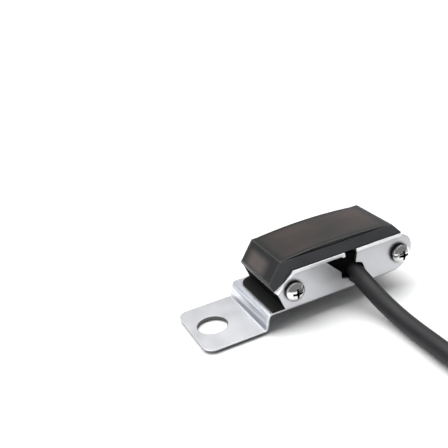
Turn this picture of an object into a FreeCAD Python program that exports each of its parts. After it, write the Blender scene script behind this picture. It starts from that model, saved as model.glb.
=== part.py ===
import FreeCAD, Part
import math
import os

import Sketcher

os.makedirs("parts", exist_ok=True)
doc = FreeCAD.newDocument("sensor_head")
Vector = FreeCAD.Vector
Rotation = FreeCAD.Rotation
nodes = []

# ---------------------------------------------------------------- driving sizes, mm and degrees
# +X runs from the fixing tab to the head, -Y is the cable side, +Z is up.
# The origin is the fixing hole's centre on the tab's underside.
SIZES = {
    "sheet": 1.0,              # bracket metal
    "half_width": 10.8,        # half the bracket's width
    "tab_left": 6.2,           # tab end, measured from the hole's centre
    "tab_corner": 3.0,
    "hole_radius": 4.2,        # clears an M8 bolt
    "foot_x": 10.4,            # where the riser leaves the tab
    "riser_run": 1.3,
    "web_top": 5.3,
    "bend": 0.9,               # inside radius of the long bends
    "wall_tip_x": 15.2,        # wall's pointed left end
    "wall_tip_z": 10.0,
    "wall_low_x": 17.2,
    "wall_high_x": 20.5,
    "wall_top": 14.6,
    "wall_right": 57.0,
    "wall_round": 9.0,         # length of the rounded lower right corner
    "wall_brow": 2.6,          # length of the rounded upper right corner
    "wall_cheek": 10.9,        # height where those two corners meet
    "seat": 0.8,               # seat plate metal
    "seat_gap_low": 35.8,      # gap in the seat plate over the cable
    "seat_gap_high": 39.4,
    "rim_half": 10.3,
    "rim_slope": 1.9,          # sloped side of the rim
    "head_top": 17.6,
    "head_right": 54.2,
    "end_slope": 1.6,          # how far the head's right end leans in
    "ridge_x": 18.0,           # top edge of the slanted end
    "chin_x": 14.2,            # lower edge of the window on the slanted end
    "chin_z": 12.2,
    "window_half": 8.1,
    "window_thick": 1.3,
    "window_camber": 0.95,     # rise of the window's top at mid length
    "window_gap": 0.15,
    "body_half": 9.6,
    "body_low": 5.85,
    "cavity_half": 5.8,
    "cavity_low": 7.2,
    "cavity_left": 21.5,
    "cavity_right": 50.5,
    "pad_left": 13.2,
    "pad_thick": 0.5,
    "screw_left_x": 19.8,
    "screw_right_x": 52.8,
    "screw_z": 9.9,
    "screw_head_r": 2.65,
    "screw_head_h": 1.9,
    "screw_shank_r": 1.45,
    "insert_r": 2.1,
    "washer": 0.6,
    "board_low": 12.9,
    "board": 1.0,
    "board_half": 5.6,
    "board_screw_in": 1.9,     # board screws, measured in from the cavity's ends
    "cable_d": 4.8,
    "cable_x": 39.1,
    "cable_z": 8.6,            # centre line where it leaves the body
    "cable_dip": 20.0,         # how far it points down there
    "coil_x": 70.8,
    "coil_y": -72.0,
    "coil_radius": 28.5,
    "tie_wall": 0.9,
    "sleeve_start": 36.0,      # shrink sleeve, measured from the coil's centre
    "sleeve": 15.0,
    "end_core": 16.0,
    "ferrule": 6.0,
}

sheet = doc.addObject("Spreadsheet::Sheet", "Dims")
for row, (alias, value) in enumerate(SIZES.items(), start=1):
    sheet.set("A%d" % row, alias)
    sheet.set("B%d" % row, repr(value))
    sheet.setAlias("B%d" % row, alias)
doc.recompute()


class Dim:
    """A size that knows both its value and the spreadsheet expression behind it."""

    def __init__(self, value, text):
        self.value = value
        self.text = text

    def __add__(self, other):
        other = as_dim(other)
        return Dim(self.value + other.value, "(%s + %s)" % (self.text, other.text))

    def __sub__(self, other):
        other = as_dim(other)
        return Dim(self.value - other.value, "(%s - %s)" % (self.text, other.text))

    def __mul__(self, factor):
        return Dim(self.value * factor, "(%s * %r)" % (self.text, factor))

    def __neg__(self):
        return self * -1.0


def as_dim(value):
    return value if isinstance(value, Dim) else Dim(float(value), repr(float(value)))


def dim(alias):
    return Dim(SIZES[alias], "Dims." + alias)


def bind(obj, prop, size):
    """Drive a top-level or nested property from the spreadsheet."""
    size = as_dim(size)
    if "." not in prop:
        setattr(obj, prop, size.value)
    obj.setExpression(prop, size.text)


def place(obj, x, y, z, rotation=None):
    obj.Placement = FreeCAD.Placement(Vector(0, 0, 0), rotation or Rotation())
    for axis, size in zip("xyz", (x, y, z)):
        bind(obj, "Placement.Base." + axis, size)


def add_node(obj, name):
    obj.Label = name
    nodes.append(obj)
    return obj


# ---------------------------------------------------------------- building blocks
def block(name, x0, x1, y0, y1, z0, z1):
    obj = doc.addObject("Part::Box", name)
    bind(obj, "Length", as_dim(x1) - x0)
    bind(obj, "Width", as_dim(y1) - y0)
    bind(obj, "Height", as_dim(z1) - z0)
    place(obj, x0, y0, z0)
    return obj


TOWARDS = {
    "+z": Rotation(),
    "-z": Rotation(Vector(1, 0, 0), 180),
    "+y": Rotation(Vector(1, 0, 0), -90),
    "-y": Rotation(Vector(1, 0, 0), 90),
    "+x": Rotation(Vector(0, 1, 0), 90),
}


def rod(name, radius, length, x, y, z, towards="+z"):
    obj = doc.addObject("Part::Cylinder", name)
    bind(obj, "Radius", radius)
    bind(obj, "Height", length)
    rotation = TOWARDS[towards] if isinstance(towards, str) else towards
    place(obj, x, y, z, rotation)
    return obj


def fuse(name, parts):
    obj = doc.addObject("Part::MultiFuse", name)
    obj.Shapes = parts
    obj.Refine = True
    return obj


def together(name, parts):
    obj = doc.addObject("Part::Compound", name)
    obj.Links = parts
    return obj


def cut(name, base, tools):
    obj = doc.addObject("Part::Cut", name)
    obj.Base = base
    obj.Tool = tools[0] if len(tools) == 1 else fuse(name + "_tools", tools)
    obj.Refine = True
    return obj


def new_body(name):
    return doc.addObject("PartDesign::Body", name)


def origin_plane(body, role):
    return next(f for f in body.Origin.OriginFeatures if f.Role == role)


def corner_constraint(sketch, kind, line, size):
    index = sketch.addConstraint(Sketcher.Constraint(kind, -1, 1, line, 1, size.value))
    sketch.setExpression("Constraints[%d]" % index, size.text)


def outline(body, name, role, corners, offset=None):
    """Closed sketch on an origin plane, every corner held by spreadsheet sizes."""
    sketch = body.newObject("Sketcher::SketchObject", name)
    sketch.AttachmentSupport = [(origin_plane(body, role), "")]
    sketch.MapMode = "FlatFace"
    if offset is not None:
        sketch.setExpression("AttachmentOffset.Base.z", as_dim(offset).text)
    corners = [(as_dim(u), as_dim(v)) for u, v in corners]
    count = len(corners)
    for i in range(count):
        (u0, v0), (u1, v1) = corners[i], corners[(i + 1) % count]
        line = Part.LineSegment(Vector(u0.value, v0.value, 0), Vector(u1.value, v1.value, 0))
        sketch.addGeometry(line, False)
    for i in range(count):
        sketch.addConstraint(Sketcher.Constraint("Coincident", i, 2, (i + 1) % count, 1))
    for i, (u, v) in enumerate(corners):
        corner_constraint(sketch, "DistanceX", i, u)
        corner_constraint(sketch, "DistanceY", i, v)
    return sketch


def side_pad(body, name, corners, y_low, y_high):
    """Pad a side outline (X, Z corners) from y_low to y_high."""
    y_low, y_high = as_dim(y_low), as_dim(y_high)
    sketch = outline(body, name + "_outline", "XZ_Plane", corners, -y_high)
    pad = body.newObject("PartDesign::Pad", name)
    pad.Profile = sketch
    bind(pad, "Length", y_high - y_low)
    doc.recompute()
    return pad


def side_pocket(body, name, corners, y_low, y_high):
    y_low, y_high = as_dim(y_low), as_dim(y_high)
    sketch = outline(body, name + "_outline", "XZ_Plane", corners, -y_low)
    pocket = body.newObject("PartDesign::Pocket", name)
    pocket.Profile = sketch
    bind(pocket, "Length", y_high - y_low)
    before = body.Shape.Volume
    doc.recompute()
    print("pocket", name, round(before - body.Shape.Volume, 2), "mm3")
    return pocket


def round_pocket(body, name, role, u, v, radius, offset, depth):
    """Round hole cut against the plane's normal, starting at offset along it."""
    sketch = body.newObject("Sketcher::SketchObject", name + "_circle")
    sketch.AttachmentSupport = [(origin_plane(body, role), "")]
    sketch.MapMode = "FlatFace"
    sketch.setExpression("AttachmentOffset.Base.z", as_dim(offset).text)
    u, v, radius = as_dim(u), as_dim(v), as_dim(radius)
    sketch.addGeometry(Part.Circle(Vector(u.value, v.value, 0), Vector(0, 0, 1), radius.value), False)
    index = sketch.addConstraint(Sketcher.Constraint("Radius", 0, radius.value))
    sketch.setExpression("Constraints[%d]" % index, radius.text)
    for kind, size in (("DistanceX", u), ("DistanceY", v)):
        index = sketch.addConstraint(Sketcher.Constraint(kind, -1, 1, 0, 3, size.value))
        sketch.setExpression("Constraints[%d]" % index, size.text)
    pocket = body.newObject("PartDesign::Pocket", name)
    pocket.Profile = sketch
    bind(pocket, "Length", depth)
    before = body.Shape.Volume
    doc.recompute()
    print("pocket", name, round(before - body.Shape.Volume, 2), "mm3")
    return pocket


def dress(body, kind, name, size, wanted):
    """Fillet or chamfer every edge of the body that wanted() accepts."""
    names = []
    for i, edge in enumerate(body.Shape.Edges, start=1):
        middle = edge.valueAt(0.5 * (edge.FirstParameter + edge.LastParameter))
        ends = [v.Point for v in edge.Vertexes]
        if len(ends) == 2 and wanted(middle, ends):
            names.append("Edge%d" % i)
    print(kind, name, len(names), "edges")
    feature = body.newObject("PartDesign::" + kind, name)
    feature.Base = (body.Tip if body.Tip != feature else feature.BaseFeature, names)
    bind(feature, "Radius" if kind == "Fillet" else "Size", size)
    doc.recompute()
    return feature


def near(a, b, slack=0.02):
    return abs(a - b) < slack


# ---------------------------------------------------------------- bracket
SHEET = dim("sheet")
HALF = dim("half_width")
WALL_INNER = HALF - SHEET
WEB_TOP = dim("web_top")
WEB_LOW = WEB_TOP - SHEET
FOOT = dim("foot_x")
RUN = dim("riser_run")
WEB_END = dim("wall_right") - dim("wall_round") - 1.0
SEAT = dim("seat")
SEAT_TOP = dim("wall_top") + SEAT
CABLE_X = dim("cable_x")
CABLE_R = dim("cable_d") * 0.5
BOARD_SCREW_X = (dim("cavity_left") + dim("board_screw_in"), dim("cavity_right") - dim("board_screw_in"))


def cable_z_at(y):
    """Height of the cable's centre line up to where it leaves the bracket."""
    drop = math.tan(math.radians(SIZES["cable_dip"]))
    return dim("cable_z") + (y + SIZES["body_half"]) * drop


def arc_points(centre_x, centre_z, reach_x, reach_z, first, last, steps):
    """Points along an elliptical arc, angles in degrees from +X towards +Z."""
    points = []
    for i in range(steps + 1):
        angle = math.radians(first + (last - first) * i / steps)
        points.append((centre_x + reach_x * math.cos(angle), centre_z + reach_z * math.sin(angle)))
    return points


def wall_outline():
    high = dim("wall_top")
    cheek = dim("wall_cheek")
    right = dim("wall_right")
    lower = arc_points(right - dim("wall_round"), cheek, dim("wall_round"), cheek - WEB_LOW, -90, 0, 8)
    upper = arc_points(right - dim("wall_brow"), cheek, dim("wall_brow"), high - cheek, 0, 90, 6)
    return [(dim("wall_low_x"), WEB_LOW)] + lower + upper[1:] + [
        (dim("wall_high_x"), high),
        (dim("wall_tip_x"), dim("wall_tip_z")),
    ]


def notch_outline():
    """Opening for the cable: slanted on the left, close round the cable below and on the right."""
    left = CABLE_X - 4.75
    high = dim("wall_top") + 1.0
    side = CABLE_R + 0.15
    centre_z = cable_z_at(-SIZES["half_width"])
    under = arc_points(CABLE_X, centre_z, side, side + 0.15, 190, 360, 8)
    return [
        (left - 5.4, high),
        (left - 4.4, high - 1.1),
        (left, WEB_TOP + 4.8),
        (left, WEB_TOP + 2.8),
    ] + under + [
        (CABLE_X + side * 0.86, WEB_TOP + 4.6),
        (CABLE_X + side * 0.68, WEB_TOP + 5.7),
        (CABLE_X - 0.1, WEB_TOP + 6.35),
        (CABLE_X + 0.35, WEB_TOP + 8.6),
        (CABLE_X + 0.75, high),
    ]


def make_bracket():
    body = new_body("bracket_body")
    back = FOOT + SHEET
    strip = [
        (-dim("tab_left"), 0.0),
        (back, 0.0),
        (back + RUN, WEB_LOW),
        (WEB_END, WEB_LOW),
        (WEB_END, WEB_TOP),
        (FOOT + RUN, WEB_TOP),
        (FOOT, SHEET),
        (-dim("tab_left"), SHEET),
    ]
    side_pad(body, "strip", strip, -HALF, HALF)
    low = WEB_LOW.value
    dress(body, "Fillet", "riser_inside", dim("bend") * 0.5,
          lambda m, e: near(m.y, 0.0) and (near(m.z, 1.0) and near(m.x, FOOT.value)
                                           or near(m.z, low) and near(m.x, (back + RUN).value)))
    dress(body, "Fillet", "riser_outside", dim("bend") * 1.4,
          lambda m, e: near(m.y, 0.0) and (near(m.z, 0.0) and near(m.x, back.value)
                                           or near(m.z, WEB_TOP.value) and near(m.x, (FOOT + RUN).value)))
    side_pad(body, "front_wall", wall_outline(), -HALF, -WALL_INNER)
    side_pad(body, "back_wall", wall_outline(), WALL_INNER, HALF)
    side_pocket(body, "cable_notch", notch_outline(), -HALF - 1.0, -WALL_INNER + 0.2)
    for side in ("left", "right"):
        x = dim("screw_%s_x" % side)
        for name, start in (("front", -HALF - 1.0), ("back", WALL_INNER - 0.5)):
            # the XZ plane's normal is -Y and a pocket cuts towards +Y
            round_pocket(body, "screw_hole_%s_%s" % (name, side), "XZ_Plane",
                         x, dim("screw_z"), 1.6, -start, 2.5)
    round_pocket(body, "fixing_hole", "XY_Plane", 0.0, 0.0, dim("hole_radius"), SHEET + 0.5, SHEET + 1.0)
    half = HALF.value
    dress(body, "Fillet", "tab_corners", dim("tab_corner"),
          lambda m, e: near(m.x, -SIZES["tab_left"]) and near(abs(m.y), half) and near(e[0].x, e[1].x)
          and near(e[0].y, e[1].y))
    dress(body, "Fillet", "wall_bend_outside", dim("bend"),
          lambda m, e: near(abs(m.y), half) and near(m.z, low) and m.x > SIZES["wall_low_x"])
    add_node(body, "mounting_bracket")


def make_seat_plate():
    """Folded strip that the head sits on; its ends follow the slanted end of the wall."""
    body = new_body("seat_body")
    high_x, high = dim("wall_high_x"), dim("wall_top")
    tip_x, tip_z = dim("wall_tip_x"), dim("wall_tip_z")
    side_pad(body, "seat_strip", [
        (tip_x, tip_z),
        (high_x, high),
        (dim("head_right") - 0.4, high),
        (dim("head_right") - 0.4, SEAT_TOP),
        (high_x - SEAT * 0.42, SEAT_TOP),
        (tip_x - SEAT * 0.7, tip_z + SEAT * 0.72),
    ], -HALF, HALF)
    side_pocket(body, "seat_gap", [
        (dim("seat_gap_low"), high - 0.5),
        (dim("seat_gap_high"), high - 0.5),
        (dim("seat_gap_high"), SEAT_TOP + 0.5),
        (dim("seat_gap_low"), SEAT_TOP + 0.5),
    ], -HALF - 1.0, -HALF + 3.0)
    side_pocket(body, "seat_opening", [
        (dim("cavity_left") - 0.6, high - 0.5),
        (dim("cavity_right") + 0.6, high - 0.5),
        (dim("cavity_right") + 0.6, SEAT_TOP + 0.5),
        (dim("cavity_left") - 0.6, SEAT_TOP + 0.5),
    ], -dim("cavity_half") - 1.3, dim("cavity_half") + 1.3)
    side_pad(body, "seat_lip", [
        (dim("seat_gap_low") - SEAT, high - 0.4),
        (dim("seat_gap_low"), high - 0.4),
        (dim("seat_gap_low"), SEAT_TOP),
        (dim("seat_gap_low") - SEAT, SEAT_TOP),
    ], -HALF, -HALF + 1.1)
    add_node(body, "seat_plate")


# ---------------------------------------------------------------- head
TOP = dim("head_top")
TOP_RIGHT = dim("head_right") - dim("end_slope")
WINDOW_LOW = TOP - dim("window_thick")
SLANT = math.atan2(SIZES["head_top"] - SIZES["chin_z"], SIZES["ridge_x"] - SIZES["chin_x"])


def window_inner(extra):
    """Inner ridge and inner chin of the window's bent profile, extra deeper than its thickness."""
    depth = dim("window_thick") + extra
    ridge = (dim("ridge_x") + depth * math.tan(0.5 * SLANT), TOP - depth)
    chin = (dim("chin_x") + depth * math.sin(SLANT), dim("chin_z") - depth * math.cos(SLANT))
    return ridge, chin


def make_rim_frame():
    """Upper frame: the sloped rim, the slanted end and the neck through the seat plate."""
    body = new_body("rim_body")
    side_pad(body, "rim_slab", [
        (dim("chin_x"), dim("chin_z")),
        (dim("ridge_x"), TOP),
        (TOP_RIGHT, TOP),
        (dim("head_right"), SEAT_TOP),
        (dim("wall_high_x") - SEAT * 0.42, SEAT_TOP),
        (dim("wall_tip_x") - SEAT * 0.7, dim("wall_tip_z") + SEAT * 0.72 + 0.06),
    ], -dim("rim_half"), dim("rim_half"))
    side = SIZES["rim_half"]
    ridge = SIZES["ridge_x"]
    chin = SIZES["chin_x"]

    def upper_edge(m, e):
        on_side = near(abs(m.y), side) and near(abs(e[0].y), side) and near(abs(e[1].y), side)
        on_top = near(e[0].z, TOP.value) and near(e[1].z, TOP.value)
        xs = sorted((e[0].x, e[1].x))
        on_end = near(xs[0], chin) and near(xs[1], ridge)
        return on_side and near(e[0].y, e[1].y) and (on_top or on_end)

    dress(body, "Chamfer", "rim_slope", dim("rim_slope"), upper_edge)
    inner_ridge, inner_chin = window_inner(0.3)
    lift = 3.0
    side_pocket(body, "window_recess", [
        inner_chin,
        inner_ridge,
        (TOP_RIGHT - 0.8, WINDOW_LOW - 0.3),
        (TOP_RIGHT - 0.8, TOP + lift),
        (dim("ridge_x") - lift, TOP + lift),
        (dim("chin_x") - lift, dim("chin_z") + 0.4),
        (dim("chin_x") - 0.1, dim("chin_z") - 0.05),
    ], -dim("window_half") - dim("window_gap"), dim("window_half") + dim("window_gap"))
    neck_low = dim("wall_top") - 0.2
    side_pad(body, "neck", [
        (dim("cavity_left") - 0.4, neck_low),
        (dim("cavity_right") + 0.4, neck_low),
        (dim("cavity_right") + 0.4, SEAT_TOP + 0.2),
        (dim("cavity_left") - 0.4, SEAT_TOP + 0.2),
    ], -dim("cavity_half") - 1.1, dim("cavity_half") + 1.1)
    side_pocket(body, "light_opening", [
        (dim("cavity_left") + 0.6, neck_low - 0.5),
        (dim("cavity_right") - 0.6, neck_low - 0.5),
        (dim("cavity_right") - 0.6, TOP + 1.0),
        (dim("cavity_left") + 0.6, TOP + 1.0),
    ], -dim("cavity_half"), dim("cavity_half"))
    add_node(body, "rim_frame")


def make_window():
    """Smoked window: flat slanted end, top cambered along its length."""
    body = new_body("window_body")
    inner_ridge, inner_chin = window_inner(0.0)
    right = TOP_RIGHT - 0.8 - dim("window_gap")
    corners = [
        (dim("ridge_x"), TOP),
        (right, TOP),
        (right, WINDOW_LOW),
        inner_ridge,
        inner_chin,
        (dim("chin_x"), dim("chin_z")),
    ]
    sketch = body.newObject("Sketcher::SketchObject", "window_outline")
    sketch.AttachmentSupport = [(origin_plane(body, "XZ_Plane"), "")]
    sketch.MapMode = "FlatFace"
    sketch.setExpression("AttachmentOffset.Base.z", (-dim("window_half")).text)
    points = [Vector(u.value, v.value, 0) for u, v in corners]
    crest = (points[0] + points[1]) * 0.5 + Vector(0, SIZES["window_camber"], 0)
    sketch.addGeometry(Part.Arc(points[0], crest, points[1]), False)
    for first, second in zip(points[1:], points[2:] + points[:1]):
        sketch.addGeometry(Part.LineSegment(first, second), False)
    # FreeCAD stores this arc anticlockwise, so its own start is the right-hand end
    sketch.addConstraint(Sketcher.Constraint("Coincident", 0, 1, 1, 1))
    sketch.addConstraint(Sketcher.Constraint("Coincident", 5, 2, 0, 2))
    for i in range(1, 5):
        sketch.addConstraint(Sketcher.Constraint("Coincident", i, 2, i + 1, 1))
    for i, (u, v) in enumerate(corners[1:], start=1):
        corner_constraint(sketch, "DistanceX", i, u)
        corner_constraint(sketch, "DistanceY", i, v)
    for kind, size in (("DistanceX", corners[0][0]), ("DistanceY", corners[0][1])):
        index = sketch.addConstraint(Sketcher.Constraint(kind, -1, 1, 5, 2, size.value))
        sketch.setExpression("Constraints[%d]" % index, size.text)
    chord = right.value - SIZES["ridge_x"]
    camber = SIZES["window_camber"]
    radius = (0.25 * chord * chord + camber * camber) / (2.0 * camber)
    index = sketch.addConstraint(Sketcher.Constraint("Radius", 0, radius))
    half_chord = "((%s - Dims.ridge_x) / 2)" % right.text
    sketch.setExpression("Constraints[%d]" % index,
                         "(%s ^ 2 + Dims.window_camber ^ 2) / (2 * Dims.window_camber)" % half_chord)
    pad = body.newObject("PartDesign::Pad", "window_slab")
    pad.Profile = sketch
    bind(pad, "Length", dim("window_half") * 2.0)
    doc.recompute()
    add_node(body, "window_cover")


def make_lower_body():
    """Black body between the bracket walls, with the cavity for the board and the cable slot."""
    body = new_body("lower_shell")
    low = dim("body_low")
    high = dim("wall_top") - 0.2
    side_pad(body, "shell", [
        (dim("wall_low_x") - 0.6, low),
        (dim("wall_right") - 5.5, low),
        (dim("wall_right") - 2.6, low + 2.0),
        (dim("wall_right") - 1.2, low + 4.5),
        (dim("wall_right") - 1.8, high - 1.5),
        (dim("wall_right") - 3.2, high),
        (dim("wall_high_x") + 0.2, high),
        (dim("wall_tip_x") + 0.9, dim("wall_tip_z") + 0.2),
    ], -dim("body_half"), dim("body_half"))
    side_pocket(body, "cavity", [
        (dim("cavity_left"), dim("cavity_low")),
        (dim("cavity_right"), dim("cavity_low")),
        (dim("cavity_right"), high + 1.0),
        (dim("cavity_left"), high + 1.0),
    ], -dim("cavity_half"), dim("cavity_half"))
    slot_axis = Rotation(Vector(1, 0, 0), 90 + SIZES["cable_dip"])
    radius = CABLE_R + 0.35
    bore = rod("slot_bore", radius, 9.0, CABLE_X, -5.0, cable_z_at(-5.0), slot_axis)
    mouth = block("slot_mouth", CABLE_X - radius, CABLE_X + radius, -12.0, -dim("cavity_half") - 0.4,
                  low - 1.0, dim("cable_z"))
    holes = [bore, mouth]
    pocket_ends = (("front", -dim("body_half") - 0.5, "+y"), ("back", dim("body_half") + 0.5, "-y"))
    for side in ("left", "right"):
        for tag, y, way in pocket_ends:
            holes.append(rod("pocket_%s_%s" % (side, tag), dim("insert_r"), 4.3,
                             dim("screw_%s_x" % side), y, dim("screw_z"), way))
    posts = []
    for i, x in enumerate(BOARD_SCREW_X):
        post = rod("post_%d" % i, 1.5, dim("board_low") - dim("cavity_low") + 0.3, x, 0.0,
                   dim("cavity_low") - 0.3)
        pilot = rod("pilot_%d" % i, 0.7, 4.0, x, 0.0, dim("board_low") - 4.0)
        posts.append(cut("bored_post_%d" % i, post, [pilot]))
    shell = cut("slotted_shell", body, holes)
    add_node(fuse("body_with_posts", [shell] + posts), "lower_body")


def make_seal():
    outer = block("seal_outer", dim("cavity_left") - 1.2, dim("cavity_right") + 1.2,
                  -dim("cavity_half") - 1.6, dim("cavity_half") + 1.6, WINDOW_LOW - 0.3, WINDOW_LOW)
    inner = block("seal_inner", dim("cavity_left") + 0.6, dim("cavity_right") - 0.6,
                  -dim("cavity_half"), dim("cavity_half"), WINDOW_LOW - 0.5, WINDOW_LOW + 0.2)
    add_node(cut("seal_ring", outer, [inner]), "window_seal")


def make_pad():
    outer = block("pad_block", dim("pad_left"), WEB_END - 1.0, -dim("body_half") - 0.9,
                  WALL_INNER - 0.2, WEB_TOP, WEB_TOP + dim("pad_thick"))
    inner_front = block("pad_front_relief", dim("wall_low_x") - 0.6, dim("wall_right"),
                        -HALF - 1.0, -WALL_INNER + 0.15, WEB_TOP - 1.0, WEB_TOP + 3.0)
    corner = 3.2
    square = block("pad_corner_square", dim("pad_left") - 1.0, dim("pad_left") + corner,
                   WALL_INNER - 0.2 - corner, WALL_INNER + 1.0, WEB_TOP - 1.0, WEB_TOP + 3.0)
    quarter = rod("pad_corner_round", corner, 4.0, dim("pad_left") + corner,
                  WALL_INNER - 0.2 - corner, WEB_TOP - 1.0)
    add_node(cut("pad_shape", outer, [inner_front, cut("pad_corner_waste", square, [quarter])]),
             "rubber_pad")


# ---------------------------------------------------------------- board and what it carries
BOARD_TOP = dim("board_low") + dim("board")
EMITTER_X = (27.0, 36.0, 45.0)
RECEIVER_X = (31.5, 40.5)


def make_board():
    plate = block("board_plate", dim("cavity_left") + 0.2, dim("cavity_right") - 0.2,
                  -dim("board_half"), dim("board_half"), dim("board_low"), BOARD_TOP)
    holes = [rod("board_hole_%d" % i, 0.95, 3.0, x, 0.0, dim("board_low") - 1.0)
             for i, x in enumerate(BOARD_SCREW_X)]
    add_node(cut("drilled_board", plate, holes), "circuit_board")
    screws = []
    for i, x in enumerate(BOARD_SCREW_X):
        head = rod("board_screw_head_%d" % i, 1.2, 0.7, x, 0.0, BOARD_TOP)
        shank = rod("board_screw_shank_%d" % i, 0.7, 4.0, x, 0.0, BOARD_TOP - 3.9)
        slot = block("board_screw_slot_%d" % i, x - 0.9, x + 0.9, -0.2, 0.2,
                     BOARD_TOP + 0.4, BOARD_TOP + 1.0)
        screws.append(cut("board_screw_%d" % i, fuse("board_screw_solid_%d" % i, [head, shank]), [slot]))
    add_node(together("board_screw_pair", screws), "board_screws")


def make_emitters():
    lamps = []
    for i, x in enumerate(EMITTER_X):
        base = block("emitter_base_%d" % i, x - 1.6, x + 1.6, -1.4, 1.4, BOARD_TOP, BOARD_TOP + 0.8)
        dome = doc.addObject("Part::Sphere", "emitter_dome_%d" % i)
        bind(dome, "Radius", 1.3)
        dome.Angle1 = 0
        place(dome, x, 0.0, BOARD_TOP + 0.8)
        lamps.append(fuse("emitter_%d" % i, [base, dome]))
    add_node(together("emitter_row", lamps), "ir_emitters")


def make_receivers():
    cells = []
    for i, x in enumerate(RECEIVER_X):
        case = block("receiver_case_%d" % i, x - 1.5, x + 1.5, -2.0, 2.0, BOARD_TOP, BOARD_TOP + 1.0)
        window = rod("receiver_lens_%d" % i, 1.0, 0.4, x, 0.0, BOARD_TOP + 1.0)
        cells.append(fuse("receiver_%d" % i, [case, window]))
    add_node(together("receiver_row", cells), "photodiodes")


def make_small_parts():
    low = dim("board_low")
    chip = block("chip_case", 26.0, 31.0, -2.0, 2.0, low - 1.3, low - 0.25)
    legs = []
    for i in range(4):
        x = 26.7 + 1.2 * i
        legs.append(block("chip_leg_%d" % i, x, x + 0.45, -3.0, 3.0, low - 0.25, low))
    add_node(fuse("chip", [chip] + legs), "controller_chip")
    resistors = []
    for i in range(6):
        x = 24.4 + 2.6 * i
        side = 3.6 if i % 2 else -4.4
        resistors.append(block("resistor_%d" % i, x, x + 1.6, side, side + 0.8, BOARD_TOP, BOARD_TOP + 0.5))
    add_node(together("resistor_set", resistors), "chip_resistors")
    add_node(rod("capacitor_can", 2.0, 4.2, 44.5, 0.0, low, "-z"), "capacitor")
    add_node(block("led_case", 44.0, 45.2, -4.6, -3.8, BOARD_TOP, BOARD_TOP + 0.6), "status_led")


def make_baffle():
    """Black plate that keeps the emitters' light off the receivers."""
    low = BOARD_TOP + 1.4
    plate = block("baffle_plate", dim("cavity_left") + 0.8, dim("cavity_right") - 0.8,
                  -dim("board_half"), dim("board_half"), low, low + 0.8)
    holes = [rod("baffle_hole_%d" % i, 1.9, 3.0, x, 0.0, low - 1.0)
             for i, x in enumerate(EMITTER_X + RECEIVER_X)]
    legs = []
    for i, x in enumerate((29.05, 33.45, 38.05, 42.45)):
        legs.append(block("baffle_leg_%d" % i, x, x + 0.5, -2.6, 2.6, BOARD_TOP, low + 0.2))
    add_node(fuse("baffle", [cut("baffle_drilled", plate, holes)] + legs), "light_baffle")


# ---------------------------------------------------------------- fasteners
def make_screw(side):
    """Pan head, cross recess, shank into the insert; its axis points along -Y."""
    x = dim("screw_%s_x" % side)
    z = dim("screw_z")
    seat_y = -HALF - dim("washer")
    head_r = dim("screw_head_r")
    head_h = dim("screw_head_h")
    crown = doc.addObject("Part::Sphere", "crown_" + side)
    crown_r = 3.4
    bind(crown, "Radius", crown_r)
    place(crown, x, seat_y - head_h + crown_r, z)
    barrel = rod("barrel_" + side, head_r, head_h, x, seat_y, z, "-y")
    head = doc.addObject("Part::MultiCommon", "head_" + side)
    head.Shapes = [crown, barrel]
    shank = rod("shank_" + side, dim("screw_shank_r"), 5.2, x, seat_y - 0.2, z, "+y")
    solid = fuse("screw_solid_" + side, [head, shank])
    face = seat_y - head_h
    arm = 0.32
    wide = block("recess_wide_" + side, x - 1.45, x + 1.45, face - 0.5, face + 1.1, z - arm, z + arm)
    tall = block("recess_tall_" + side, x - arm, x + arm, face - 0.5, face + 1.1, z - 1.45, z + 1.45)
    core = rod("recess_core_" + side, 0.62, 1.9, x, face - 0.5, z, "+y")
    add_node(cut("screw_" + side, solid, [wide, tall, core]), "screw_" + side)


def make_washers():
    """Split spring washers under the two heads."""
    rings = []
    for side in ("left", "right"):
        x = dim("screw_%s_x" % side)
        z = dim("screw_z")
        ring = rod("washer_ring_" + side, 2.75, dim("washer"), x, -HALF, z, "-y")
        hole = rod("washer_hole_" + side, 1.65, 2.0, x, -HALF + 0.5, z, "-y")
        split = block("washer_split_" + side, x + 1.0, x + 3.5, -HALF - 1.0, -HALF + 0.3, z + 0.3, z + 0.6)
        rings.append(cut("washer_" + side, ring, [hole, split]))
    add_node(together("washer_pair", rings), "spring_washers")


def make_inserts():
    rings = []
    for side in ("left", "right"):
        x = dim("screw_%s_x" % side)
        z = dim("screw_z")
        shell = rod("insert_shell_" + side, dim("insert_r"), 3.6, x, -dim("body_half"), z, "+y")
        hole = rod("insert_hole_" + side, dim("screw_shank_r") + 0.03, 6.0,
                   x, -dim("body_half") - 1.0, z, "+y")
        rings.append(cut("insert_" + side, shell, [hole]))
    add_node(together("insert_pair", rings), "threaded_inserts")
    plugs = []
    for side in ("left", "right"):
        x = dim("screw_%s_x" % side)
        head = rod("pin_head_" + side, 2.4, 0.9, x, HALF, dim("screw_z"), "+y")
        stem = rod("pin_stem_" + side, 1.5, 4.4, x, HALF + 0.2, dim("screw_z"), "-y")
        foot = rod("pin_foot_" + side, dim("insert_r"), 3.0,
                   x, dim("body_half") - 0.1, dim("screw_z"), "-y")
        plugs.append(fuse("pin_" + side, [head, stem, foot]))
    add_node(together("pin_pair", plugs), "back_pins")


# ---------------------------------------------------------------- cable
CABLE_DOWN = Rotation(Vector(1, 0, 0), 90 + SIZES["cable_dip"])
D = SIZES["cable_d"]


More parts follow.
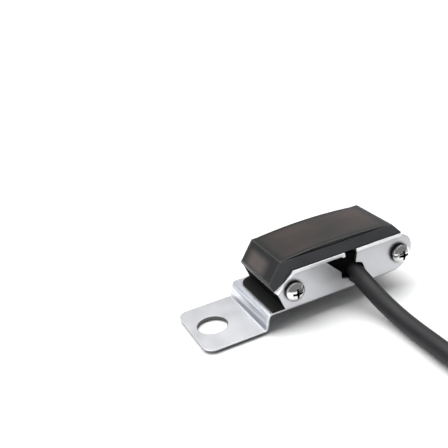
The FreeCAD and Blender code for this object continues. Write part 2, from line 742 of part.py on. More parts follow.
def make_gland():
    """Tapered collar that closes the body's slot round the cable."""
    length = 2.7
    sleeve = rod("gland_sleeve", CABLE_R + 0.3, length, CABLE_X, -6.2, cable_z_at(-6.2), CABLE_DOWN)
    bore = rod("gland_bore", CABLE_R, length + 2.0, CABLE_X, -5.2, cable_z_at(-5.2), CABLE_DOWN)
    add_node(cut("gland", sleeve, [bore]), "cable_gland")
    clamp = rod("clamp_ring", CABLE_R + 0.2, 0.8, CABLE_X, -5.1, cable_z_at(-5.1), CABLE_DOWN)
    hole = rod("clamp_hole", CABLE_R, 4.0, CABLE_X, -4.0, cable_z_at(-4.0), CABLE_DOWN)
    add_node(cut("clamp", clamp, [hole]), "cable_clamp")


def rounded_wire(points):
    """Straight runs joined by tangent arcs whose radius follows the shorter run."""
    edges = []
    start = points[0]
    for before, corner, after in zip(points, points[1:], points[2:]):
        into = (corner - before).normalize()
        out = (after - corner).normalize()
        turn = into.getAngle(out)
        shorter = min((corner - before).Length, (after - corner).Length)
        reach = 0.45 * shorter
        first = corner - into * reach
        last = corner + out * reach
        towards = (out - into).normalize()
        radius = reach / math.tan(0.5 * turn)
        middle = corner + towards * (radius / math.cos(0.5 * turn) - radius)
        print("cable radius", round(radius, 1), "turn", round(math.degrees(turn), 1))
        edges.append(Part.LineSegment(start, first).toShape())
        edges.append(Part.Arc(first, middle, last).toShape())
        start = last
    edges.append(Part.LineSegment(start, points[-1]).toShape())
    return Part.Wire(edges)


def make_cable():
    """Down from the board cavity to the surface, then along it to the coil."""
    x = SIZES["cable_x"]
    floor_z = 0.5 * D
    coil_left = SIZES["coil_x"] - SIZES["coil_radius"] - 0.5 * D
    route = [
        Vector(x, -5.0, cable_z_at(-5.0).value),
        Vector(x, -14.5, cable_z_at(-14.5).value),
        Vector(x + 1.1, -26.5, floor_z),
        Vector(x + 0.8, -44.0, floor_z),
        Vector(x + 0.7, -58.0, floor_z),
        Vector(coil_left, SIZES["coil_y"], floor_z),
    ]
    for point in route:
        print("route", [round(c, 2) for c in point])
    wire = rounded_wire(route)
    start_dir = (route[1] - route[0]).normalize()
    section = Part.Wire(Part.Circle(route[0], start_dir, 0.5 * D).toShape())
    tube = wire.makePipeShell([section], True, False)
    expected = math.pi * (0.5 * D) ** 2 * wire.Length
    print("cable volume ratio", round(tube.Volume / expected, 4), "length", round(wire.Length, 1))
    feature = doc.addObject("Part::Feature", "cable_tube")
    feature.Shape = tube
    add_node(feature, "cable")


def make_coil():
    """The spare length wound into two rings and a half, as its outer shape, and the tie round it."""
    x = dim("coil_x")
    y = dim("coil_y")
    tube = dim("cable_d")
    wall = dim("tie_wall")
    centre_z = tube + wall
    coil = doc.addObject("Part::Torus", "coil_ring")
    bind(coil, "Radius1", dim("coil_radius"))
    bind(coil, "Radius2", tube)
    place(coil, x, y, centre_z)
    add_node(coil, "cable_coil")
    tie_y = y - dim("coil_radius")
    band = rod("tie_band", tube + wall, 4.0, x - 2.0, tie_y, centre_z, "+x")
    hole = rod("tie_hole", tube + 0.2, 8.0, x - 4.0, tie_y, centre_z, "+x")
    lug_low = centre_z + tube
    lug = block("tie_lug", x - 2.5, x + 2.5, tie_y - 2.5, tie_y + 2.5, lug_low, lug_low + 2.5)
    add_node(cut("tie", fuse("tie_solid", [band, lug]), [hole]), "coil_tie")


def make_end():
    """Stripped end: shrink sleeve, three cores and their ferrules, lying beside the head."""
    x = dim("coil_x") + dim("coil_radius") + 1.5
    y = dim("coil_y") + dim("sleeve_start")
    z = CABLE_R + 0.4
    core_y = y + dim("sleeve")
    tip_y = core_y + dim("end_core")
    add_node(rod("sleeve_rod", CABLE_R + 0.4, dim("sleeve"), x, y, z, "+y"), "end_sleeve")
    cores = []
    tips = []
    for i, side in enumerate((-1.7, 0.0, 1.7)):
        cores.append(rod("core_%d" % i, 0.75, dim("end_core"), x + side, core_y, z, "+y"))
        tips.append(rod("ferrule_%d" % i, 0.5, dim("ferrule"), x + side, tip_y, z, "+y"))
    add_node(together("core_set", cores), "end_cores")
    add_node(together("ferrule_set", tips), "ferrules")


def make_inner_cores():
    """The three cores between the cable's end and the underside of the board."""
    cores = []
    for i, side in enumerate((-1.3, 0.0, 1.3)):
        z = 10.2
        run = rod("inner_run_%d" % i, 0.45, 3.9, CABLE_X + side, -4.8, z, "+y")
        rise = rod("inner_rise_%d" % i, 0.5, dim("board_low") - z + 0.7, CABLE_X + side, -1.2, z - 0.7)
        cores.append(fuse("inner_core_%d" % i, [run, rise]))
    add_node(together("inner_core_set", cores), "inner_cores")


make_bracket()
make_seat_plate()
make_rim_frame()
make_window()
make_lower_body()
make_seal()
make_pad()
make_board()
make_emitters()
make_receivers()
make_small_parts()
make_baffle()
make_screw("left")
make_screw("right")
make_washers()
make_inserts()
make_gland()
make_cable()
make_coil()
make_end()
make_inner_cores()
doc.recompute()

# ---------------------------------------------------------------- checks and export
for obj in doc.Objects:
    assert "Invalid" not in obj.State and "Error" not in obj.State, (obj.Name, obj.State)
for node in nodes:
    shape = node.Shape
    assert not shape.isNull() and shape.isValid() and shape.Volume > 0, node.Label
    print("%-18s solids %d volume %9.2f z %6.2f..%6.2f" % (
        node.Label, len(shape.Solids), shape.Volume, shape.BoundBox.ZMin, shape.BoundBox.ZMax))
    shape.exportStep("parts/%s.step" % node.Label)
print(len(nodes), "nodes")
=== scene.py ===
import math

import bmesh
import bpy
from mathutils import Matrix, Vector


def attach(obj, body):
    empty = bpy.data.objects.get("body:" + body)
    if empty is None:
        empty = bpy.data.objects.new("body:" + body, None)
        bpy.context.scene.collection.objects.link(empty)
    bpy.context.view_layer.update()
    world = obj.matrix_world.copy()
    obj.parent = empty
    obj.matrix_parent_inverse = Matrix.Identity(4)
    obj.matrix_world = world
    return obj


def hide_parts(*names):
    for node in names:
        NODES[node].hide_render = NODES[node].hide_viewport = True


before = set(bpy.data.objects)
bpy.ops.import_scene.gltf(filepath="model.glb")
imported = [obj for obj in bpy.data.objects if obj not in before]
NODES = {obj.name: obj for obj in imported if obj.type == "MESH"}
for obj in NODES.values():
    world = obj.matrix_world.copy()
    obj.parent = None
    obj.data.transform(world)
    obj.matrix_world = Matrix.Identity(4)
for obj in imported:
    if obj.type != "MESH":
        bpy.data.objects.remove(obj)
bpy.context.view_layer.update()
BODY = "sensor"

MM = 0.001
CABLE_R = 2.4              # millimetres, as are all sizes below unless they say metres
CABLE_D = 2.0 * CABLE_R * MM


# ---------------------------------------------------------------- camera, first
SENSOR_WIDTH = 36.0
FOCAL_LENGTH = 56.2
CAMERA_PLACE = Vector((-50.377, -150.388, 104.083))
CAMERA_RIGHT = Vector((0.9022, -0.41146, -0.12938))
CAMERA_FORWARD = Vector((0.32502, 0.84573, -0.4232))


def make_camera():
    """The camera, at the place and with the axes that were fitted for it."""
    data = bpy.data.cameras.new("camera")
    data.sensor_width = SENSOR_WIDTH
    data.lens = FOCAL_LENGTH
    data.clip_start = 0.01
    data.clip_end = 20.0
    camera = bpy.data.objects.new("camera", data)
    forward = CAMERA_FORWARD.normalized()
    up = CAMERA_RIGHT.cross(forward).normalized()
    right = forward.cross(up).normalized()
    axes = Matrix((right, up, -forward)).transposed()
    camera.matrix_world = Matrix.Translation(CAMERA_PLACE * MM) @ axes.to_4x4()
    bpy.context.scene.collection.objects.link(camera)
    bpy.context.scene.camera = camera


# ---------------------------------------------------------------- node helpers
class Graph:
    """A node material built step by step."""

    def __init__(self, name):
        self.material = bpy.data.materials.new(name)
        self.material.use_nodes = True
        self.tree = self.material.node_tree
        self.tree.nodes.clear()
        self.out = self.add("ShaderNodeOutputMaterial")
        self.bsdf = self.add("ShaderNodeBsdfPrincipled")
        self.link(self.bsdf.outputs["BSDF"], self.out.inputs["Surface"])
        self.coords = self.add("ShaderNodeTexCoord").outputs["Object"]

    def add(self, kind, **settings):
        node = self.tree.nodes.new(kind)
        for key, value in settings.items():
            setattr(node, key, value)
        return node

    def link(self, source, target):
        self.tree.links.new(source, target)

    def mapped(self, scale):
        node = self.add("ShaderNodeMapping")
        node.inputs["Scale"].default_value = scale
        self.link(self.coords, node.inputs["Vector"])
        return node.outputs["Vector"]

    def noise(self, scale, detail=4.0, roughness=0.5, stretch=(1, 1, 1)):
        node = self.add("ShaderNodeTexNoise")
        node.inputs["Scale"].default_value = scale
        node.inputs["Detail"].default_value = detail
        node.inputs["Roughness"].default_value = roughness
        self.link(self.mapped(stretch), node.inputs["Vector"])
        return node.outputs["Fac"]

    def ramp(self, value, stops):
        node = self.add("ShaderNodeValToRGB")
        ramp = node.color_ramp
        while len(ramp.elements) < len(stops):
            ramp.elements.new(0.5)
        for element, (position, colour) in zip(ramp.elements, stops):
            element.position = position
            element.color = colour
        self.link(value, node.inputs["Fac"])
        return node.outputs["Color"]

    def to_range(self, value, low, high, from_low=0.3, from_high=0.7):
        node = self.add("ShaderNodeMapRange")
        node.inputs["From Min"].default_value = from_low
        node.inputs["From Max"].default_value = from_high
        node.inputs["To Min"].default_value = low
        node.inputs["To Max"].default_value = high
        self.link(value, node.inputs["Value"])
        return node.outputs["Result"]

    def bump(self, height, strength, distance, normal=None):
        node = self.add("ShaderNodeBump")
        node.inputs["Strength"].default_value = strength
        node.inputs["Distance"].default_value = distance
        self.link(height, node.inputs["Height"])
        if normal is not None:
            self.link(normal, node.inputs["Normal"])
        return node.outputs["Normal"]

    def edge_wear_and_highlight(self, radius):
        """1 on sharp edges, 0 on flats, from a rounded normal against the true one."""
        bevel = self.add("ShaderNodeBevel", samples=4)
        bevel.inputs["Radius"].default_value = radius
        geometry = self.add("ShaderNodeNewGeometry")
        dot = self.add("ShaderNodeVectorMath", operation="DOT_PRODUCT")
        self.link(bevel.outputs["Normal"], dot.inputs[0])
        self.link(geometry.outputs["Normal"], dot.inputs[1])
        return self.to_range(dot.outputs["Value"], 1.0, 0.0, 0.75, 0.995)

    def mix(self, amount, first, second):
        """The first colour where amount is 0, the second where it is 1."""
        node = self.add("ShaderNodeMix", data_type="RGBA")
        self.link(amount, node.inputs[0])
        for socket, value in ((node.inputs[6], first), (node.inputs[7], second)):
            if isinstance(value, tuple):
                socket.default_value = value
            else:
                self.link(value, socket)
        return node.outputs[2]

    def math(self, operation, first, second):
        node = self.add("ShaderNodeMath", operation=operation)
        for socket, value in zip(node.inputs, (first, second)):
            if isinstance(value, float):
                socket.default_value = value
            else:
                self.link(value, socket)
        return node.outputs[0]

    def axis(self, name):
        """One of the object's own coordinates, in metres."""
        node = self.add("ShaderNodeSeparateXYZ")
        self.link(self.coords, node.inputs[0])
        return node.outputs[name]

    def between(self, value, low, high, soft):
        """1 from low to high, 0 outside, with soft edges. Lengths are in millimetres."""
        rise = self.to_range(value, 0.0, 1.0, (low - soft) * MM, low * MM)
        fall = self.to_range(value, 1.0, 0.0, high * MM, (high + soft) * MM)
        return self.math("MULTIPLY", rise, fall)

    def inside_hole(self, inner, outer):
        """1 on the wall of the round hole about the origin, 0 beyond it. Radii in millimetres."""
        squares = [self.math("MULTIPLY", self.axis(name), self.axis(name)) for name in "XY"]
        radius = self.math("SQRT", self.math("ADD", *squares), 0.0)
        return self.to_range(radius, 1.0, 0.0, inner * MM, outer * MM)

    def facing_down(self):
        """1 on undersides, 0 on walls and tops."""
        split = self.add("ShaderNodeSeparateXYZ")
        geometry = self.add("ShaderNodeNewGeometry")
        self.link(geometry.outputs["Normal"], split.inputs[0])
        return self.to_range(split.outputs["Z"], 1.0, 0.0, -0.8, -0.25)

    def crevice(self, distance):
        """1 in the open, towards 0 in recesses and near other faces."""
        node = self.add("ShaderNodeAmbientOcclusion", samples=8)
        node.inputs["Distance"].default_value = distance
        return node.outputs["AO"]

    def soften(self, radius):
        """Rounds sharp edges in the shading only."""
        node = self.add("ShaderNodeBevel", samples=6)
        node.inputs["Radius"].default_value = radius
        return node.outputs["Normal"]

    def finish(self, colour=None, roughness=None, normal=None, **constants):
        for socket, value in (("Base Color", colour), ("Roughness", roughness), ("Normal", normal)):
            if value is None:
                continue
            if isinstance(value, (tuple, float)):
                self.bsdf.inputs[socket].default_value = value
            else:
                self.link(value, self.bsdf.inputs[socket])
        for name, value in constants.items():
            self.bsdf.inputs[name.replace("_", " ")].default_value = value
        return self.material


def grey(level, tint=(1.0, 1.0, 1.0)):
    return (level * tint[0], level * tint[1], level * tint[2], 1.0)


# ---------------------------------------------------------------- materials
RISER = (10.4, 12.8)       # the bracket's riser, along X
HOLE_WALL = (4.22, 4.30)   # just outside the fixing hole's radius
WINDOW_TOP = ((20.5, 50.0), (-6.2, 6.2))   # where the window's top looks warm, along X and Y
WINDOW_END = ((14.8, 16.4), (-1.6, 4.2))   # the same on its end
COLD = (0.985, 0.99, 1.02)                 # tints, as red, green and blue
INK = (0.95, 0.97, 1.08)


def zinc_sheet(name, level=0.60):
    """Satin zinc plate: mottling and rolling lines; edges lighter from wear and painted highlight; painted
    shade in corners, on undersides and in the fixing hole; a painted reflection on the riser.
    """
    g = Graph(name)
    cloud = g.noise(140.0, 5.0, 0.6)
    lines = g.noise(900.0, 2.0, 0.5, (0.12, 1.0, 1.0))
    colour = g.ramp(cloud, [(0.25, grey(level * 0.93, COLD)), (0.75, grey(level * 1.04, COLD))])
    # cut edges lighter: partly wear, partly a painted highlight
    colour = g.mix(g.edge_wear_and_highlight(0.22 * MM), colour, grey(0.95))
    # painted reflection: the riser is lighter and bluish, crossed by darker bands, for the room seen in its
    # steep face
    riser_reflection_bands = g.to_range(g.noise(620.0, 2.0, 0.5, (1.0, 0.06, 1.0)), 0.0, 0.75, 0.45, 0.62)
    on_riser = g.between(g.axis("X"), *RISER, 0.5)
    colour = g.mix(on_riser, colour, grey(0.86, (0.97, 0.99, 1.04)))
    colour = g.mix(g.math("MULTIPLY", riser_reflection_bands, on_riser), colour, grey(0.34, (0.93, 0.95, 1.15)))
    # painted shade on the fixing hole's inner wall
    colour = g.mix(g.inside_hole(*HOLE_WALL), colour, grey(0.10))
    # painted shade on faces turned downwards
    colour = g.mix(g.facing_down(), colour, grey(0.12))
    # painted shade in corners and where faces meet
    colour = g.mix(g.to_range(g.crevice(1.5 * MM), 0.0, 1.0, 0.25, 0.85), grey(0.10), colour)
    rough = g.to_range(cloud, 0.34, 0.42)
    normal = g.bump(lines, 0.10, 0.02 * MM, g.soften(0.22 * MM))
    return g.finish(colour, rough, normal, Metallic=1.0)


def bright_steel(name, level=0.85, roughness=0.10):
    """Bright plated steel with turning marks, and painted shade in recesses and where parts meet."""
    g = Graph(name)
    marks = g.noise(1500.0, 3.0, 0.5)
    colour = g.ramp(marks, [(0.3, grey(level * 0.88)), (0.7, grey(level, (1.0, 0.995, 0.97)))])
    # painted shade in the cross recess and round the head
    colour = g.mix(g.to_range(g.crevice(1.6 * MM), 0.0, 1.0, 0.55, 0.99), grey(0.01), colour)
    rough = g.to_range(marks, roughness, roughness + 0.09)
    normal = g.bump(marks, 0.08, 0.01 * MM, g.soften(0.10 * MM))
    return g.finish(colour, rough, normal, Metallic=1.0)


def moulded_black(name, level=0.026, roughness=0.46, shine=0.38):
    """Fine spark-eroded black plastic, a little cold; edges lighter, partly from rubbing and partly painted
    highlight, and painted shade in recesses.
    """
    g = Graph(name)
    grain = g.noise(2600.0, 2.0, 0.5)
    cloud = g.noise(180.0, 3.0, 0.5)
    deeper_ink = (0.95, 0.97, 1.1)
    colour = g.ramp(cloud, [(0.3, grey(level, INK)), (0.7, grey(level * 1.35, deeper_ink))])
    # edges lighter: partly rubbed wear, partly a painted highlight
    colour = g.mix(g.edge_wear_and_highlight(0.18 * MM), colour, grey(level * 3.0, (0.95, 0.98, 1.08)))
    # painted shade in recesses and at joints
    colour = g.mix(g.to_range(g.crevice(0.6 * MM), 0.0, 1.0, 0.3, 0.85), grey(0.001), colour)
    rough = g.to_range(cloud, roughness, roughness + 0.10)
    normal = g.bump(grain, 0.16, 0.03 * MM, g.soften(0.16 * MM))
    return g.finish(colour, rough, normal, Specular_IOR_Level=shine)


def black_rubber(name, level=0.004, roughness=0.70):
    g = Graph(name)
    grain = g.noise(2200.0, 3.0, 0.6)
    colour = g.ramp(grain, [(0.3, grey(level)), (0.7, grey(level * 1.6))])
    rough = g.to_range(grain, roughness, roughness + 0.14)
    normal = g.bump(grain, 0.22, 0.04 * MM, g.soften(0.12 * MM))
    return g.finish(colour, rough, normal, Specular_IOR_Level=0.3)


def jacket(name):
    """Extruded cable jacket: matt black, fine lengthwise drag and a little dust."""
    g = Graph(name)
    drag = g.noise(1700.0, 2.0, 0.5, (1.0, 0.07, 1.0))
    cloud = g.noise(120.0, 4.0, 0.6)
    colour = g.ramp(cloud, [(0.3, grey(0.007, (0.95, 0.96, 1.1))), (0.75, grey(0.012, (0.96, 0.97, 1.1)))])
    rough = g.to_range(cloud, 0.46, 0.58)
    normal = g.bump(drag, 0.20, 0.03 * MM)
    return g.finish(colour, rough, normal, Specular_IOR_Level=0.32)


def smoked_window(name):
    """Smoked polycarbonate: grey-green where its thick edges show, warm over the board behind; a painted
    highlight on its rounded edges and painted shade where it meets the rim.
    """
    g = Graph(name)
    patch = g.noise(70.0, 2.0, 0.45, (1.0, 1.35, 1.0))
    fine = g.noise(500.0, 3.0, 0.5)
    x = g.axis("X")
    y = g.axis("Y")
    top_x, top_y = WINDOW_TOP
    end_x, end_y = WINDOW_END
    over_top = g.math("MULTIPLY", g.between(x, *top_x, 1.6), g.between(y, *top_y, 1.2))
    on_end = g.math("MULTIPLY", g.between(x, *end_x, 0.9), g.between(y, *end_y, 3.4))
    warm = g.ramp(patch, [
        (0.30, grey(0.026, (1.06, 0.98, 0.90))),
        (0.50, grey(0.034, (1.20, 0.96, 0.88))),
        (0.72, grey(0.042, (1.34, 0.95, 0.90))),
    ])
    border = g.ramp(patch, [(0.3, grey(0.015, (0.96, 1.03, 0.96))), (0.7, grey(0.022, (0.98, 1.03, 0.97)))])
    colour = g.mix(over_top, border, warm)
    colour = g.mix(on_end, colour, grey(0.074, (1.16, 0.97, 0.92)))
    # painted highlight along the window's rounded ridges and edges
    colour = g.mix(g.edge_wear_and_highlight(0.7 * MM), colour, grey(0.115, (0.98, 1.0, 0.98)))
    # painted shade in the groove between window and rim
    colour = g.mix(g.to_range(g.crevice(0.8 * MM), 0.0, 1.0, 0.3, 0.8), grey(0.002), colour)
    rough = g.to_range(fine, 0.16, 0.24)
    normal = g.bump(fine, 0.03, 0.02 * MM, g.soften(0.35 * MM))
    return g.finish(colour, rough, normal, Specular_IOR_Level=0.25)


def simple_part(name, low, high, roughness, metallic=0.0):
    """A small part's two-tone moulded, plated or insulated surface."""
    g = Graph(name)
    cloud = g.noise(700.0, 4.0, 0.55)
    colour = g.ramp(cloud, [(0.3, low), (0.7, high)])
    rough = g.to_range(cloud, roughness, roughness + 0.12)
    normal = g.bump(cloud, 0.10, 0.02 * MM, g.soften(0.08 * MM))
    return g.finish(colour, rough, normal, Metallic=metallic)


def paint(node, material):
    mesh = NODES[node].data
    mesh.materials.clear()
    mesh.materials.append(material)


def paint_nodes():
    zinc = zinc_sheet("zinc_sheet")
    moulded = moulded_black("moulded_black")
    rubber = black_rubber("black_rubber")
    bright = bright_steel("bright_screw")
    dull = bright_steel("plated_steel", 0.45, 0.20)
    # painted shade: the spring washers get a dark copy of the steel, for the shade round the screw heads
    shaded = bright_steel("washer_steel", 0.14, 0.20)
    brass = simple_part("brass", (0.55, 0.36, 0.12, 1), (0.72, 0.52, 0.22, 1), 0.25, 1.0)
    looks = {
        "mounting_bracket": zinc,
        # painted highlight: the seat plate gets a far brighter copy of the zinc, for the light its bend and
        # top catch
        "seat_plate": zinc_sheet("seat_zinc_painted_bright", 0.96),
        "rim_frame": moulded,
        # painted shade: the body's plastic is made far darker and duller than the rim's, for the shade it
        # sits in
        "lower_body": moulded_black("body_black_painted_shade", 0.002, 0.80, 0.08),
        "light_baffle": moulded,
        "window_cover": smoked_window("smoked_window"),
        "window_seal": rubber,
        "rubber_pad": rubber,
        "cable_gland": rubber,
        "screw_left": bright,
        "screw_right": bright,
        "spring_washers": shaded,
        "board_screws": dull,
        "back_pins": dull,
        "threaded_inserts": brass,
        "cable_clamp": brass,
        "circuit_board": simple_part("board", (0.01, 0.07, 0.03, 1), (0.015, 0.11, 0.045, 1), 0.35),
        "ir_emitters": simple_part("emitter", (0.20, 0.19, 0.24, 1), (0.32, 0.30, 0.36, 1), 0.12),
        "photodiodes": simple_part("receiver", (0.01, 0.008, 0.012, 1), (0.03, 0.02, 0.03, 1), 0.15),
        "controller_chip": simple_part("chip", (0.012, 0.012, 0.013, 1), (0.03, 0.03, 0.03, 1), 0.5),
        "chip_resistors": simple_part("resistor", (0.02, 0.02, 0.02, 1), (0.06, 0.06, 0.06, 1), 0.35),
        "capacitor": simple_part("capacitor", (0.55, 0.55, 0.57, 1), (0.7, 0.7, 0.72, 1), 0.22, 1.0),
        "status_led": simple_part("led", (0.7, 0.7, 0.6, 1), (0.85, 0.85, 0.8, 1), 0.3),
        "inner_cores": simple_part("core", (0.25, 0.03, 0.02, 1), (0.35, 0.06, 0.04, 1), 0.4),
        "ferrules": simple_part("ferrule", (0.6, 0.6, 0.58, 1), (0.8, 0.8, 0.78, 1), 0.25, 1.0),
        "end_cores": simple_part("end_core", (0.25, 0.03, 0.02, 1), (0.35, 0.06, 0.04, 1), 0.4),
    }
    for node, material in looks.items():
        paint(node, material)


SHARP_EDGE = 40.0          # degrees between faces, above which an edge is rounded


def round_edges(node, width, segments=2):
    """Real rounding on a CAD node's sharp edges, the width in millimetres."""
    bevel = NODES[node].modifiers.new("rounding", "BEVEL")
    bevel.width = width * MM
    bevel.segments = segments
    bevel.limit_method = "ANGLE"
    bevel.angle_limit = math.radians(SHARP_EDGE)
    bevel.use_clamp_overlap = True


def round_nodes():
    round_edges("window_cover", 0.35, 3)
    round_edges("seat_plate", 0.36, 4)
    round_edges("rim_frame", 0.16)
    round_edges("rubber_pad", 0.12)


# ---------------------------------------------------------------- cable
COIL_X = 70.8
COIL_Y = -72.0
COIL_RADIUS = 28.5
COIL_TURNS = 2.5
STEPS = 16                 # control points in a turn
LOW = CABLE_R + 0.03       # centre line of a cable on the floor
TIE_TURN = 0.25            # where the tie goes round the coil, in turns from its start
STRAP = 0.6                # thickness of the tie's strap
STRAP_RAMP = 0.07          # turns over which the cable rises onto the strap
STRAP_HALF_WIDTH = 1.8
STRAP_CLEARANCE = 0.02     # between strap and cable
STRAP_STEPS = 60
TIE_HEAD = Vector((4.6, 4.2, 2.6))
TIE_STUB = Vector((3.4, 3.2, 0.8))         # the strap's cut-off end
HEAD_ABOVE = 1.5           # from the top cable to the middle of the head
STUB_BEHIND = 3.0
STUB_ABOVE = 0.2
ROUTE = [
    (39.1, -7.6, 9.33),
    (39.1, -14.5, 6.82),
    (40.2, -26.5, LOW),
    (39.9, -44.0, LOW),
    (39.8, -58.0, LOW),
]
TAIL_X = COIL_X + COIL_RADIUS + 1.5
TAIL = [                   # down from the top of the coil to the floor and into the sleeve
    (TAIL_X - 1.0, COIL_Y + 8.0, 7.1),
    (TAIL_X - 0.3, COIL_Y + 15.0, 7.4),
    (TAIL_X, COIL_Y + 24.0, 5.3),
    (TAIL_X, COIL_Y + 33.0, 2.9),
    (TAIL_X, COIL_Y + 41.0, 2.8),
    (TAIL_X, COIL_Y + 46.0, 2.8),
]
SLEEVE_START = COIL_Y + 36.0
SLEEVE_HEIGHT = 2.8        # its centre line's
SLEEVE_SIDES = 32
SLEEVE_FLATTENING = 0.28   # how much lower than wide it ends


def eased(value, start, end):
    """0 before start, 1 after end, smooth between."""
    part = min(1.0, max(0.0, (value - start) / (end - start)))
    return part * part * (3.0 - 2.0 * part)


def coil_section(turn):
    """Distance from the coil's centre and height of the cable, that many turns in.

    The first turn lies outside, the second inside it, and the last half turn
    climbs over both and rests in the groove between them."""
    radius = COIL_RADIUS + CABLE_R
    radius -= 2.0 * CABLE_R * eased(turn, 0.65, 1.0)
    radius += CABLE_R * eased(turn, 1.6, 1.95)
    height = LOW + 2.03 * CABLE_R * eased(turn, 1.45, 1.75) - 0.26 * CABLE_R * eased(turn, 2.05, 2.2)
    over_strap = math.exp(-((turn % 1.0 - TIE_TURN) / STRAP_RAMP) ** 2)
    return radius, height + STRAP * over_strap


def coil_point(turn):
    angle = math.pi + 2.0 * math.pi * turn
    radius, height = coil_section(turn)
    return (COIL_X + radius * math.cos(angle), COIL_Y + radius * math.sin(angle), height)


def make_cable(material):
    """One spline from inside the gland, along the floor and round the put-away coil."""
    coil = [coil_point(i / STEPS) for i in range(int(COIL_TURNS * STEPS) + 1)]
    points = ROUTE + coil + TAIL
    curve = bpy.data.curves.new("cable_run", "CURVE")
    curve.dimensions = "3D"
    spline = curve.splines.new("NURBS")
    spline.points.add(len(points) - 1)
    for target, (x, y, z) in zip(spline.points, points):
        target.co = (x * MM, y * MM, z * MM, 1.0)
    spline.order_u = 3
    spline.use_endpoint_u = True
    spline.resolution_u = 8
    curve.resolution_u = 8
    curve.bevel_depth = 0.5 * CABLE_D
    curve.bevel_resolution = 8
    curve.use_fill_caps = True
    curve.materials.append(material)
    cable = bpy.data.objects.new("cable_run", curve)
    bpy.context.scene.collection.objects.link(cable)
    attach(cable, BODY)
    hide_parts("cable", "cable_coil")


def new_piece(name, work, material, slot, *replaced):
    """Turn a bmesh in millimetres into a piece of the sensor."""
    bmesh.ops.recalc_face_normals(work, faces=work.faces[:])
    for vertex in work.verts:
        vertex.co *= MM
    mesh = bpy.data.meshes.new(name)
    work.to_mesh(mesh)
    work.free()
    mesh.materials.append(material)
    piece = bpy.data.objects.new(name, mesh)
    bpy.context.scene.collection.objects.link(piece)
    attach(piece, BODY)
    if replaced:
        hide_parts(*replaced)
    return piece


def bridge_rings(work, rings, closed):
    """Quads between neighbouring rings of vertices, round in a loop if closed."""
    pairs = list(zip(rings, rings[1:] + rings[:1])) if closed else list(zip(rings, rings[1:]))
    for first, second in pairs:
        count = len(first)
        for i in range(count):
            j = (i + 1) % count
            work.faces.new((first[i], first[j], second[j], second[i])).smooth = True


def add_box(work, centre, size):
    """A box with the given full sizes, and its vertices."""
    corners = bmesh.ops.create_cube(work, size=1.0)["verts"]
    for vertex in corners:
        vertex.co = centre + vertex.co * size
    return corners


def make_tie(material):
    """Cable tie: a strap drawn tight round the three cables, its head and its cut-off end."""
    work = bmesh.new()
    height = coil_section(TIE_TURN)[1]
    middle_y = COIL_Y - COIL_RADIUS
    top_radius, top_height = coil_section(TIE_TURN + 2.0)
    cables = [
        Vector((middle_y - CABLE_R, height)),
        Vector((middle_y + CABLE_R, height)),
        Vector((COIL_Y - top_radius, top_height)),
    ]
    rings = []
    for i in range(STRAP_STEPS):
        angle = 2.0 * math.pi * i / STRAP_STEPS
        out = Vector((math.cos(angle), math.sin(angle)))
        hub = max(cables, key=lambda centre: centre.dot(out))
        near = hub + out * (CABLE_R + STRAP_CLEARANCE)
        far = near + out * (STRAP - 0.05)
        section = []
        for side, place in ((-1, near), (1, near), (1, far), (-1, far)):
            section.append(work.verts.new((COIL_X + side * STRAP_HALF_WIDTH, place.x, place.y)))
        rings.append(section)
    bridge_rings(work, rings, True)
    head_z = top_height + CABLE_R + HEAD_ABOVE
    head = add_box(work, Vector((COIL_X, COIL_Y - top_radius, head_z)), TIE_HEAD)
    edges = list({edge for vertex in head for edge in vertex.link_edges})
    bmesh.ops.bevel(work, geom=edges, offset=0.45, segments=3, affect="EDGES")
    add_box(work, Vector((COIL_X, COIL_Y - top_radius - STUB_BEHIND, head_z + STUB_ABOVE)), TIE_STUB)
    return new_piece("tie_strap", work, material, "tie_nylon", "coil_tie")


def make_sleeve(material):
    """Shrink sleeve: follows the jacket, swells over its end and closes on the three cores."""
    work = bmesh.new()
    # distance along the sleeve, radius
    profile = [(0.0, 2.42), (0.1, 2.68), (0.6, 2.76), (2.0, 2.79)]
    profile += [(2.0 + 0.8 * i, 2.71 + 0.08 * math.cos(1.9 * i)) for i in range(1, 11)]
    profile += [(11.2, 2.62), (12.2, 2.52), (13.4, 2.50), (14.6, 2.48), (15.0, 2.42), (15.0, 0.9)]
    rings = []
    for along, radius in profile:
        flat = 1.0 - SLEEVE_FLATTENING * eased(along, 10.5, 13.0)
        ring = []
        for i in range(SLEEVE_SIDES):
            angle = 2.0 * math.pi * i / SLEEVE_SIDES
            ring.append(work.verts.new((TAIL_X + radius * math.cos(angle), SLEEVE_START + along,
                                        SLEEVE_HEIGHT + radius * flat * math.sin(angle))))
        rings.append(ring)
    bridge_rings(work, rings, False)
    work.faces.new(rings[0])
    work.faces.new(rings[-1])
    return new_piece("sleeve_shrunk", work, material, "sleeve_black", "end_sleeve")


# ---------------------------------------------------------------- studio
FLOOR_HALF = 1.5           # metres
FLOOR_DROP = 0.3           # a little under the tab, so that the two don't share a plane


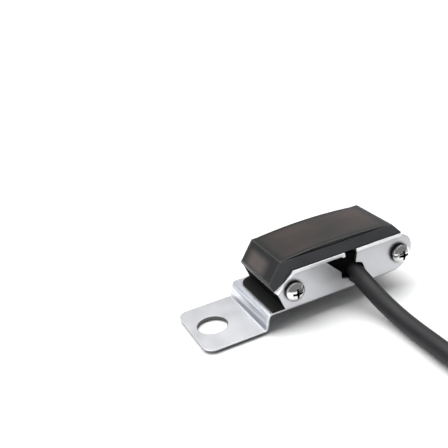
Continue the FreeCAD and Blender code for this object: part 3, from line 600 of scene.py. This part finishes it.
def make_floor():
    """Pale paper, with painted light: a glow of its own where it runs out of the lights' reach."""
    mesh = bpy.data.meshes.new("floor")
    work = bmesh.new()
    bmesh.ops.create_grid(work, x_segments=4, y_segments=4, size=FLOOR_HALF)
    work.to_mesh(mesh)
    work.free()
    floor = bpy.data.objects.new("floor", mesh)
    floor.location = (0.03, -0.02, -FLOOR_DROP * MM)
    bpy.context.scene.collection.objects.link(floor)
    g = Graph("floor_paper")
    soft = g.noise(3.0, 2.0)
    # painted light: the paper glows, more towards the back, so that the far floor stays white
    g.bsdf.inputs["Emission Color"].default_value = grey(1.0)
    g.link(g.to_range(g.axis("Y"), 0.0, 0.60, 0.25, 0.80), g.bsdf.inputs["Emission Strength"])
    mesh.materials.append(g.finish(g.ramp(soft, [(0.0, grey(0.93)), (1.0, grey(0.95))]), 0.6))


def area_light(name, location, target, size, power):
    data = bpy.data.lights.new(name, "AREA")
    data.shape = "RECTANGLE"
    data.size = size[0]
    data.size_y = size[1]
    data.energy = power
    light = bpy.data.objects.new(name, data)
    light.location = location
    direction = Vector(target) - Vector(location)
    light.rotation_euler = direction.to_track_quat("-Z", "Y").to_euler()
    bpy.context.scene.collection.objects.link(light)


ROOM_FRONT = 0.22          # the room's brightness, in front and behind
ROOM_BACK = 0.52


def make_lights():
    """A pale room, dim in front and brighter behind, with a soft light above and one on the left."""
    world = bpy.data.worlds.new("studio")
    world.use_nodes = True
    tree = world.node_tree
    background = tree.nodes["Background"]
    background.inputs["Color"].default_value = (0.97, 0.98, 1.0, 1.0)
    direction = tree.nodes.new("ShaderNodeTexCoord")
    split = tree.nodes.new("ShaderNodeSeparateXYZ")
    strength = tree.nodes.new("ShaderNodeMapRange")
    strength.inputs["From Min"].default_value = -0.5
    strength.inputs["From Max"].default_value = 0.6
    strength.inputs["To Min"].default_value = ROOM_FRONT
    strength.inputs["To Max"].default_value = ROOM_BACK
    tree.links.new(direction.outputs["Generated"], split.inputs[0])
    tree.links.new(split.outputs["Y"], strength.inputs["Value"])
    tree.links.new(strength.outputs["Result"], background.inputs["Strength"])
    bpy.context.scene.world = world
    middle = (0.035, 0.0, 0.01)
    area_light("back_top_soft", (0.06, 0.17, 0.60), middle, (0.90, 0.60), 6.6)
    area_light("left_soft", (-0.55, -0.10, 0.30), middle, (0.40, 0.40), 1.1)


def set_view():
    scene = bpy.context.scene
    scene.view_settings.view_transform = "Standard"
    scene.view_settings.look = "None"
    scene.view_settings.exposure = 0.0


make_camera()
TIE = make_tie(moulded_black("tie_black", 0.014, 0.4))
SLEEVE = make_sleeve(moulded_black("sleeve_black", 0.012, 0.5))
make_cable(jacket("cable_jacket"))
paint_nodes()
round_nodes()
make_floor()
make_lights()
set_view()
